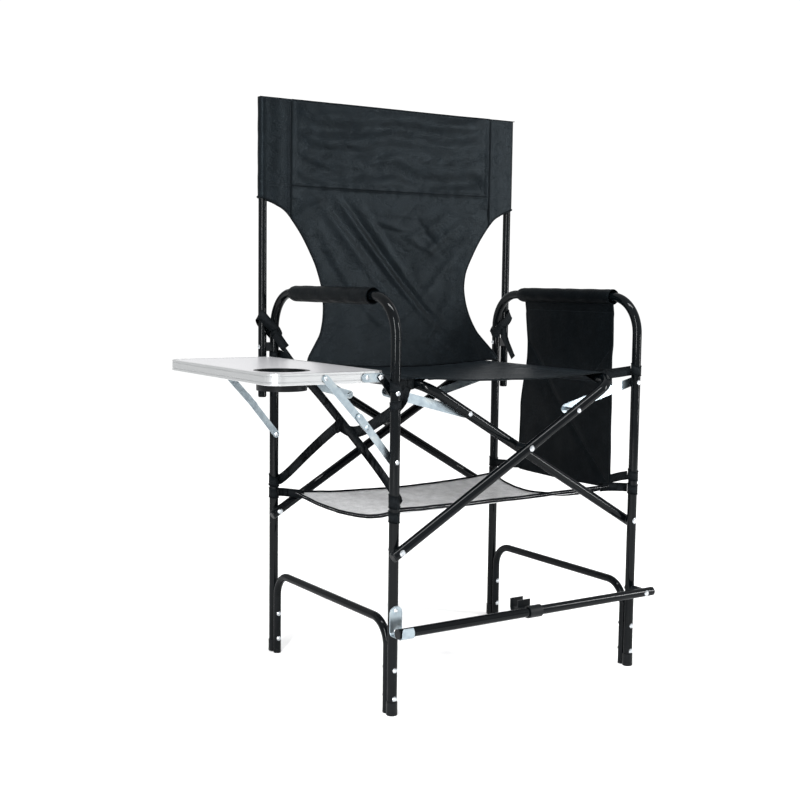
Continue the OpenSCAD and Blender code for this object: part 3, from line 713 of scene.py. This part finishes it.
for s, side, b in SIDES:
    o = sleeve_back(s)

    def cap_f(u, v):
        """Closed top of the pocket, rounded off outside the post."""
        end = math.sqrt(max(0.0, 1 - max(0, v - 0.86) ** 2 / 0.0196))
        y = BACK_Y + 1 + (2 * PR) * u * smooth(v, 0.0, 0.75) * end
        return V(s * (SEAM_X + 72 * v), y, 1169.2 - 0.4 * math.sin(math.pi * u))

    cap = grid("cap", cap_f, 8, 24, MAT["back_cloth"])
    thicken(cap, 1.0)
    face = BACK_Y - 0.9
    rows = [seam([(s * x, face, z) for z in range(936, 1164, 6)]) for x in (262.0, 266.5)]
    rows += [seam([(s * x, face, z) for x in range(262, 318, 6)]) for z in (989.2, 994.8, 1163.5)]
    rows.append(seam([(s * x, face, edge_z(x) + 6) for x in range(266, 318, 4)]))
    o = join("back_pocket_" + side, [o, cap] + rows)
    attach(o, b)

# seams on the middle panel
def on_back(x, z, lift=0.0):
    return x, BACK_Y + back_depth(x, z) + lift, z


seams = []
for z in (989.2, 994.8, 1163.5):
    seams.append(seam([on_back(x, z, -0.95) for x in range(-256, 257, 6)]))
for s in (-1, 1):
    seams.append(seam([on_back(s * 248.5, z, -0.95) for z in range(996, 1162, 6)]))
    seams.append(seam([on_back(s * (half_s(z) - 6), z, -0.95) for z in range(640, 920, 5)]))
# binding round the cut-outs and the seam ridges
for s in (-1, 1):
    rows = [619.5 + 4 * k for k in range(77)]
    pts = [on_back(s * min(259, half_s(z)), z) for z in rows if half_s(z) < 259.5]
    seams.append(piping("pipe", pts, 2.1, 10))
    seams.append(piping("pipe", [(s * 258.5, BACK_Y - 0.4, z) for z in range(925, 1169, 8)], 1.5))
seams.append(piping("pipe", [on_back(x, 1168.4) for x in range(-258, 259, 6)], 1.4))
seams.append(piping("pipe", [on_back(x, SEAM_Z, -0.2) for x in range(-258, 259, 6)], 1.3))
hem = [(x, on_back(x, 619, 0.2)[1], 618.8 + seat_z(x, 172)) for x in range(-248, 249, 4)]
seams.append(piping("pipe", hem, 1.7, up=UP))
seam_o = join("back_seams", seams)
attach(seam_o, LEFT)
for o_ in (mid, seam_o):
    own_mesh(o_)

# piping of the cut-outs where it runs out to the posts
for s, side, b in SIDES:
    pts = [(s * x, BACK_Y - 0.2, edge_z(x)) for x in range(257, 320, 3)]
    for a in (0.2, 0.6, 1.0, 1.4, 1.8, 2.2, 2.6):
        x = PX + 11 * math.sin(a)
        pts.append((s * x, PY - 11 * math.cos(a), edge_z(min(331, x))))
    o = piping("back_piping_" + side, pts, 2.0, 10)
    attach(o, b)

# ================= seat cloth =================
def seat_f(u, v):
    """Across: under the left rail, over the top, under the right rail."""
    n_in = 0.12
    y = -225 + 401 * v
    r = TR + 1.2
    if u < n_in:
        t = u / n_in
        sgn = -1
    elif u > 1 - n_in:
        t = (1 - u) / n_in
        sgn = 1
    else:
        x = (2 * (u - n_in) / (1 - 2 * n_in) - 1) * RX
        return V(x, y, RZ + r + seat_z(x, y))
    # wrap: t 0 at the seam under the seat, 1 at the top of the rail
    ylo, yhi = (-166, 174) if sgn < 0 else (-206, 166)
    yy = max(ylo, min(yhi, y))
    if t < 0.35:
        q = t / 0.35
        x = RX - 34 * (1 - q)
        z = RZ - r * q + (RZ + r - 2.2 - 5.5 * (34 / RX) - RZ) * (1 - q) * 1.0
        z = (RZ + r - 2.6 - 3.0) * (1 - q) + (RZ - r) * q
        return V(sgn * x, yy, z)
    a = math.radians(-90 + 180 * (t - 0.35) / 0.65)
    deep = yy if t < 0.9 else y * 0.5 + yy * 0.5 if t < 0.99 else y
    return V(sgn * (RX + r * math.cos(a)), deep, RZ + r * math.sin(a))


seat = grid("seat_panel", seat_f, 120, 120, MAT["seat_cloth"])
thicken(seat, 1.4)
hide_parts("seat_fabric")
def on_seat(x, y, lift, at=None):
    return x, y, RZ + TR + lift + seat_z(x if at is None else at, y)


rows = [seam([on_seat(x, y, 1.9) for x in range(-212, 213, 6)], UP) for y in (-214.0, 166.0)]
for x in (RX - 30, RX - 35):
    for s in (-1, 1):
        rows.append(seam([on_seat(s * x, y, 1.9, x) for y in range(-216, 168, 6)], UP))
for y in (-224.2, 175.2):
    rows.append(piping("hem", [on_seat(x, y, 1.2) for x in range(-214, 215, 6)], 1.7, 10, UP))
seat_seams = join("seat_seams", rows)
for o_ in (seat, seat_seams):
    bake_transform(o_)


# ================= arm sleeves =================
def arm_pad(name, s, y0, y1, body):
    prof = [(y0, 15.3), (y0 + 1.5, 15.9)] + [(y0 + 6 + (y1 - y0 - 24) * k / 60, 15.9) for k in range(61)]
    prof += [(y1 - 13, 15.4), (y1 - 8, 14.4), (y1 - 4, 13.0), (y1 - 1, 11.6), (y1, 10.9), (y1 - 0.5, 10.3)]
    prof += [(y1 - 60, 10.3), (y0 + 60, 10.3), (y0 + 17, 10.3), (y0 + 13, 11.6), (y0 + 9, 13.4)]
    prof += [(y0 + 4, 14.3), (y0 + 1, 14.5)]
    n = len(prof)

    def f(u, v):
        a = 2 * math.pi * u
        y, rr = prof[min(n - 1, int(round(v * n)))]
        if rr > 14.8:
            rr += 0.3 * math.sin(y * 0.1 + 3 * a) + 0.5 * nz(y * 0.3, a * 6, s, 0.12)
            rr -= 0.7 * math.exp(-((y - y0 - 11) / 1.6) ** 2) + 0.5 * math.exp(-((y - y1 + 14) / 1.6) ** 2)
            if math.sin(a) < -0.9:
                rr += 0.5
            rr = min(rr, 16.5)
        return V(s * LEG_X + rr * math.cos(a), y, ARM_Z + rr * math.sin(a))
    o = grid(name, f, 56, n, MAT["sleeve_cloth"], loop_u=True, loop_v=True)
    under = [Vector((s * (LEG_X - 3), y, ARM_Z - 16.2)) for y in range(int(y0) + 6, int(y1) - 18, 5)]
    o = join(name, [o, stitches("st", under, -UP)])
    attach(o, body)
    return o


pad_l = arm_pad("arm_sleeve_left", -1, -157, 157, LEFT)
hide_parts("left_arm_sleeve")
pad_r = arm_pad("arm_sleeve_right", 1, -163, 150, RIGHT)


# ================= pouch =================
def pouch_edge(z):
    t = (756 - z) / (756 - 366)
    return -163 - 5.5 * t, 124 + 15.0 * t - 15 * math.sin(math.pi * min(1.0, t / 0.62)) ** 2


def pouch_x(y, z, k=0.0):
    t = (756 - z) / 390
    w = 2.0 * nz(y, z, k, 0.012) + 1.0 * nz(y, z, k + 4, 0.03)
    # the quilting cross
    a, b = pouch_edge(z)
    u = (y - a) / (b - a)
    v = max(0, min(1, (z - 366) / 300))
    w += 1.8 * math.exp(-((u - v) * 26) ** 2) + 1.8 * math.exp(-((1 - u - v) * 26) ** 2)
    w += 1.1 * math.exp(-((z - 735) / 4) ** 2)
    return w * smooth(t, 0.0, 0.06)


def pouch_f(u, v):
    z = 368 + (754 - 368) * v
    a, b = pouch_edge(z)
    c = 5.0 * (1 - smooth(v, 0, 0.03))
    y = a + c + (b - a - 2 * c) * u
    return V(291.2 + pouch_x(y, z), y, z - 1.8 * math.sin(math.pi * u) * (1 - v) ** 3)


panel = grid("pouch_panel", pouch_f, 90, 110, MAT["pouch_cloth"])
thicken(panel, 1.4)
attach(panel, RIGHT)
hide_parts("side_pouch")
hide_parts("side_pouch")


def pocket_f(u, v):
    z = 369 + (640 - 369) * v
    a, b = pouch_edge(z)
    y = a + 3 + (b - a - 6) * u
    e = min(1.0, min(u, 1 - u) / 0.06)
    up = min(1.0, v / 0.06)
    round_off = math.sqrt(max(0, 1 - (1 - e) ** 2)) * math.sqrt(max(0, 1 - (1 - up) ** 2))
    x = 294.0 + 10.5 * round_off * (0.62 + 0.38 * (1 - v) + 0.12 * math.sin(3.3 * math.pi * u))
    x -= 4.2 * math.exp(-((u - 0.5) / 0.02) ** 2) * e
    return V(min(305.5, x + 0.8 * nz(y, z, 9, 0.02)), y, z)


pocket = grid("pouch_pocket", pocket_f, 90, 70, MAT["pouch_cloth"])
thicken(pocket, 1.2)
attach(pocket, RIGHT)
INWARD = Vector((-1, 0, 0))


def on_pouch(y, z, x=290.3):
    return x + pouch_x(y, z), y, z


rows = [seam([on_pouch(y, 735.0, 290.2) for y in range(-158, 122, 6)], INWARD)]
for rising in (False, True):
    pts = []
    for k in range(60):
        t = 0.02 + 0.96 * k / 59
        z = 368 + 295 * t
        a, b = pouch_edge(z)
        pts.append(on_pouch(a + (b - a) * (t if rising else 1 - t), z))
    rows.append(seam(pts, INWARD, 4.2, 2.8, 0.4))
rim = []
for k in range(40):
    z = 752 - (752 - 374) * k / 39
    rim.append((pouch_edge(z)[0], z))
for k in range(1, 30):
    y = -167 + (136 + 167) * k / 29
    rim.append((y, 368 - 2.2 * math.sin(math.pi * k / 29)))
for k in range(1, 40):
    z = 374 + (752 - 374) * k / 39
    rim.append((pouch_edge(z)[1], z))
rows.append(piping("bind", [on_pouch(y, z, 291.4) for y, z in rim], 2.0, up=-INWARD))
lip = [to_mm(pocket_f(k / 60, 1.0)) for k in range(61)]
rows.append(piping("lip", [(p.x, p.y, 640) for p in lip], 1.5, up=UP))
pouch_seams = join("pouch_seams", rows)
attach(pouch_seams, RIGHT)


# ================= webbing =================
def loop_pts(x, y, z, r=10.6, tilt=(0, 0), n=40):
    turn = [2 * math.pi * k / n for k in range(n)]
    return [Vector((x + r * math.cos(a), y + r * math.sin(a),
                    z + tilt[0] * math.cos(a) + tilt[1] * math.sin(a))) for a in turn]


def leg_loop(name, side, end, z, body, w=20, tilt=(0, 0), node=()):
    """A tape round the leg: side -1 left or 1 right, end -1 front or 1 rear."""
    pts = loop_pts(side * LEG_X, end * LEG_Y, z, 10.5, tilt)
    return tape(name, pts, UP, body, w, 1.5, closed=True, replaced=node)


# left side: two crossing straps, one knotted in the middle
leg_loop("strap_loop_fl_low", -1, -1, 398, LEFT, 24, (0, 2), ("side_straps",))
leg_loop("strap_loop_fl_high", -1, -1, 571, LEFT, 16, (0, -3))
leg_loop("strap_loop_rl_low", -1, 1, 371, LEFT, 22, (0, 4))
leg_loop("strap_loop_rl_high", -1, 1, 637, LEFT, 20, (0, 3))
low = [
    (-283, -240, 392), (-281.6, -226, 404), (-281, -150, 452), (-280.6, -40, 512), (-281, 90, 580),
    (-282, 200, 628), (-283.5, 234, 638),
]
front = [
    (-256, -214, 604), (-266, -221, 592), (-275, -224, 576), (-280.4, -212, 562), (-280.6, -170, 541),
    (-279.6, -110, 516), (-279, -60, 505), (-278.6, -12, 512),
]
rear = [
    (-279, -12, 514), (-279, 50, 480), (-280, 120, 438), (-281, 185, 397), (-282, 222, 376),
    (-283.4, 238, 370),
]
tape("side_strap_low", low, lambda t: Vector((0, -0.55, 1)).normalized(), LEFT, 22)
tape("side_strap_front", front, lambda t: Vector((0.0, 0.5 - 0.4 * t, 1)).normalized(), LEFT, 22)
tape("side_strap_rear", rear, lambda t: Vector((0, 0.6, 1)).normalized(), LEFT, 22)


def knot_turn(dy, dz, degrees):
    """One turn of the knot round the crossing of the two straps."""
    tip = math.radians(degrees)
    pts = []
    for j in range(20):
        a = 2 * math.pi * j / 20
        across = 12 * math.sin(a)
        pts.append(Vector((-279 + 4.0 * math.cos(a), -12 + dy + across * math.cos(tip),
                           512 + dz + across * math.sin(tip))))
    normal = Vector((0, -math.sin(tip), math.cos(tip)))
    return sweep("k", pts, tape_section(13, 1.6), normal, MAT["webbing"], closed=True)


knot = join("side_strap_knot", [knot_turn(*turn) for turn in ((0, 0, 20), (4, -2, 70), (-3, 3, 120))])
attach(knot, LEFT)

# seat corner straps
leg_loop("seat_strap_loop_left", -1, -1, 608, LEFT, 20, (1, 3), ("seat_straps",))
leg_loop("seat_strap_loop_right", 1, -1, 621, RIGHT, 20, (-1, 3))
seat_corner = {
    "left": [(-218, -186, 607), (-232, -197, 606), (-258, -214, 607), (-281, -229, 610)],
    "right": [(216, -214, 613), (232, -220, 613), (258, -228, 616), (282, -233, 619)],
}
for s, side, b in SIDES:
    tape("seat_strap_" + side, seat_corner[side], UP, b, 20)

# ties between the back posts and the arm corners: a slanting wrap, high on the post, and a thin tail
for s, side, b in SIDES:
    pts = []
    for j in range(48):
        a = 2 * math.pi * j / 48
        ca, sa = math.cos(a), math.sin(a)
        x = 306.7 + 23.3 * math.copysign(abs(ca) ** 0.75, ca)
        y = 235 + 12.6 * math.copysign(abs(sa) ** 0.7, sa)
        pts.append(Vector((s * x, y, 696 + 26 * ca - 3 * sa)))
    tape("post_tie_" + side, pts, Vector((s * -0.45, 0, 1)).normalized(), b, 21, 1.5, closed=True,
         replaced=(side + "_post_strap",))
tail = [
    (-300, 221.2, 680), (-290, 220.5, 667), (-283, 219, 655), (-275, 214, 642), (-266, 206, 626),
    (-262, 202, 618),
]
end = [(-303, 220.2, 688), (-292, 219.4, 673), (-283, 217.6, 660), (-277, 216, 652)]
right_tail = [
    (303, 221.5, 692), (298, 214, 679), (294, 200, 662), (292.6, 182, 640), (292.2, 168, 622),
]
tape("post_tie_tail_left", tail, Vector((0.7, 0, 0.7)), LEFT, 9, 1.3)
tape("post_tie_end_left", end, Vector((0.75, 0, 0.6)), LEFT, 20, 1.4)
tape("post_tie_tail_right", right_tail, Vector((0, 0.75, 0.65)), RIGHT, 15, 1.4)

# pouch corners
leg_loop("pouch_loop_front", 1, -1, 403, RIGHT, 20, (0, 3), ("pouch_straps",))
leg_loop("pouch_loop_rear", 1, 1, 371, RIGHT, 20, (0, 2))
pouch_front = [(292, -163, 384), (290.5, -178, 388), (287, -205, 396), (284, -230, 402)]
pouch_rear = [(292, 132, 378), (290.5, 150, 376), (287, 195, 372), (284, 230, 371)]
tape("pouch_strap_front", pouch_front, UP, RIGHT, 18)
tape("pouch_strap_rear", pouch_rear, UP, RIGHT, 18)

# ================= net shelf =================
FL, FR, RL, RR = 372.0, 376.0, 346.0, 348.0   # height of the net at its corners


def shelf_f(u, v):
    x = (2 * u - 1)
    y = (2 * v - 1)
    inx = 1 - 0.085 * (1 - y * y)
    iny = 1 - 0.10 * (1 - x * x)
    X, Y = 262 * x * inx, 198 * y * iny
    zc = (FL * (1 - u) + FR * u) * (1 - v) + (RL * (1 - u) + RR * u) * v
    sag = 7 * (1 - x * x) + 29 * (1 - y * y) - 5 * (1 - x * x) * (1 - y * y)
    return V(X, Y, max(322, zc - sag + 1.2 * nz(X, Y, 0, 0.014) + 0.5 * nz(X, Y, 5, 0.05)))


shelf = grid("net_shelf", shelf_f, 80, 64, MAT["grey_mesh"])
thicken(shelf, 0.7)
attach(shelf, LEFT)
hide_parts("mesh_shelf")
rows = []
sides = (lambda t: (t, 0), lambda t: (t, 1), lambda t: (0, t), lambda t: (1, t))
for side_uv in sides:
    pts = [to_mm(shelf_f(*side_uv(t / 60))) for t in range(61)]
    rows.append(sweep("bind", pts, tape_section(8.5, 3.2), UP, MAT["webbing"]))
bind = join("net_binding", rows)
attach(bind, LEFT)
corners = []
for nm, sx, sy, zc, body in (("fl", -1, -1, FL, LEFT), ("fr", 1, -1, FR, RIGHT),
                             ("rl", -1, 1, RL, LEFT), ("rr", 1, 1, RR, RIGHT)):
    leg_loop("net_loop_" + nm, sx, sy, zc - 2, body, 20, (0, 2))
    pts = [(sx * 248, sy * 186, zc - 3), (sx * 262, sy * 199, zc - 1), (sx * 278, sy * 217, zc),
           (sx * 287, sy * 227, zc)]
    corners.append(tape("net_strap_" + nm, pts, UP, LEFT, 18))
for o_ in [shelf, bind] + corners:
    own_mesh(o_)

# ================= table edge: ribbed profile swept round the corners =================
TX0, TX1, TY, TZ0 = -539.0, -309.0, 222.0, 614.0   # outer and inner side, half length, underside


def outline(inset, r_out, r_in, n=10):
    pts = []
    bends = ((TX1 - r_in, r_in - TY, r_in, -90), (TX1 - r_in, TY - r_in, r_in, 0),
                (TX0 + r_out, TY - r_out, r_out, 90), (TX0 + r_out, r_out - TY, r_out, 180))
    for cx, cy, r, a0 in bends:
        for k in range(n + 1):
            a = math.radians(a0 + 90 * k / n)
            rr = r - inset
            pts.append((cx + rr * math.cos(a), cy + rr * math.sin(a)))
    return pts


prof = [(9.6, 0.35), (9.6, 0.0), (1.2, 0.0), (0.35, 0.35), (0.0, 1.2)]
for z0 in (4.6, 15.4):
    prof += [(0.0, z0), (0.7, z0 + 0.5), (0.7, z0 + 1.3), (0.0, z0 + 1.8)]
prof += [(0.0, 19.8), (0.35, 20.65), (1.2, 21.0), (3.6, 21.0), (3.9, 20.7), (3.9, 20.2), (3.2, 20.2)]
prof += [(3.2, 1.4), (9.6, 1.4)]
rings = [outline(i, 30, 11) for i, _ in prof]
n = len(rings[0])
verts, faces = [], []
for j, (_, z) in enumerate(prof):
    for x, y in rings[j]:
        verts.append(V(x, y, TZ0 + z))
k = len(prof)
for j in range(k):
    for i in range(n):
        a, b = j * n + i, j * n + (i + 1) % n
        c, d = ((j + 1) % k) * n + (i + 1) % n, ((j + 1) % k) * n + i
        faces.append((a, b, c, d))
edge = add("table_edge_profile", verts, faces, MAT["edge_aluminium"], smooth=False)
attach(edge, "table")
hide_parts("table_frame")

# ================= footrest hook: bent plate =================
hp = [
    (-246.3, 207), (-246.3, 190), (-246.3, 170), (-246.6, 160), (-249.5, 155.2), (-255, 154.2),
    (-267, 154.2), (-280, 154.2), (-285.5, 155.6), (-288.2, 160), (-288.4, 168), (-288.3, 175.4),
]
path = spline([Vector((0, y, z)) for y, z in hp], 5)
pl = []
for i, p in enumerate(path):
    a, b = path[max(0, i - 1)], path[min(len(path) - 1, i + 1)]
    t = (b - a).normalized()
    pl.append((p, Vector((0, -t.z, t.y))))
verts, faces = [], []
W = 17
for i, (p, nn) in enumerate(pl):
    half = 13.5
    dz = p.z
    if dz > 194 and p.y > -250:
        half = math.sqrt(max(2.0, 13.5 ** 2 - (dz - 194) ** 2))
    if dz > 164 and p.y < -280:
        half = 13.5 - 3.5 * ((dz - 164) / 11.4) ** 2
    row = []
    for sgn in (1, -1):
        for q in range(W):
            x = -293.5 + half * (2 * q / (W - 1) - 1) * sgn
            row.append(p + nn * 0.7 * sgn + Vector((x, 0, 0)))
    verts += [V(*r_) for r_ in row]
k = 2 * W
for j in range(len(pl) - 1):
    for i in range(k):
        a, b = j * k + i, j * k + (i + 1) % k
        faces.append((a, b, b + k, a + k))
faces.append(tuple(reversed(range(k))))
faces.append(tuple(range((len(pl) - 1) * k, len(pl) * k)))
hook = add("footrest_hook_plate", verts, faces, MAT["zinc_steel"])
hook.modifiers.new("wn", "WEIGHTED_NORMAL")
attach(hook, LEFT)
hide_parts("footrest_hook")

# ================= light, floor and camera =================
floor_m, nt, b = nodes_of("studio_floor")
b.inputs["Base Color"].default_value = (0.97, 0.97, 0.97, 1)
b.inputs["Roughness"].default_value = 0.9
b.inputs["Specular IOR Level"].default_value = 0.0
corner_pts = [(-30, -30, 0), (30, -30, 0), (30, 30, 0), (-30, 30, 0)]
fl = add("studio_floor", corner_pts, [(0, 1, 2, 3)], floor_m, False)
w = bpy.data.worlds.new("studio")
bpy.context.scene.world = w
w.use_nodes = True
w.node_tree.nodes["Background"].inputs[0].default_value = (1, 1, 1, 1)
w.node_tree.nodes["Background"].inputs[1].default_value = 1.06


def area(name, pos, target, size, power, sy=None):
    d = bpy.data.lights.new(name, "AREA")
    d.shape = "RECTANGLE"
    d.size, d.size_y = size, sy or size
    d.energy = power
    o = bpy.data.objects.new(name, d)
    bpy.context.scene.collection.objects.link(o)
    o.location = pos
    o.rotation_euler = (Vector(target) - Vector(pos)).to_track_quat("-Z", "Y").to_euler()
    return o


area("key", (-2.5, -2.2, 1.75), (0, 0, 0.9), 0.3, 135, 2.7)
area("fill", (2.6, -2.3, 1.3), (0, 0, 0.8), 0.16, 85, 2.3)
area("top", (-0.4, -0.8, 3.5), (0, 0, 0.6), 2.4, 100, 0.4)
bpy.context.scene.view_settings.view_transform = "Standard"

eye = V(-1509.3, -2111.6, 795.5)
right = Vector((math.cos(az), math.sin(az), 0))
up = right.cross(fwd).normalized()
r2 = right * math.cos(rol) + up * math.sin(rol)
u2 = up * math.cos(rol) - right * math.sin(rol)
rot = Matrix((r2, u2, -fwd)).transposed()
cam.matrix_world = Matrix.Translation(eye) @ rot.to_4x4()
cam_data.sensor_width = 36.0
cam_data.lens = f_px / 800 * 36.0
cam_data.clip_end = 100
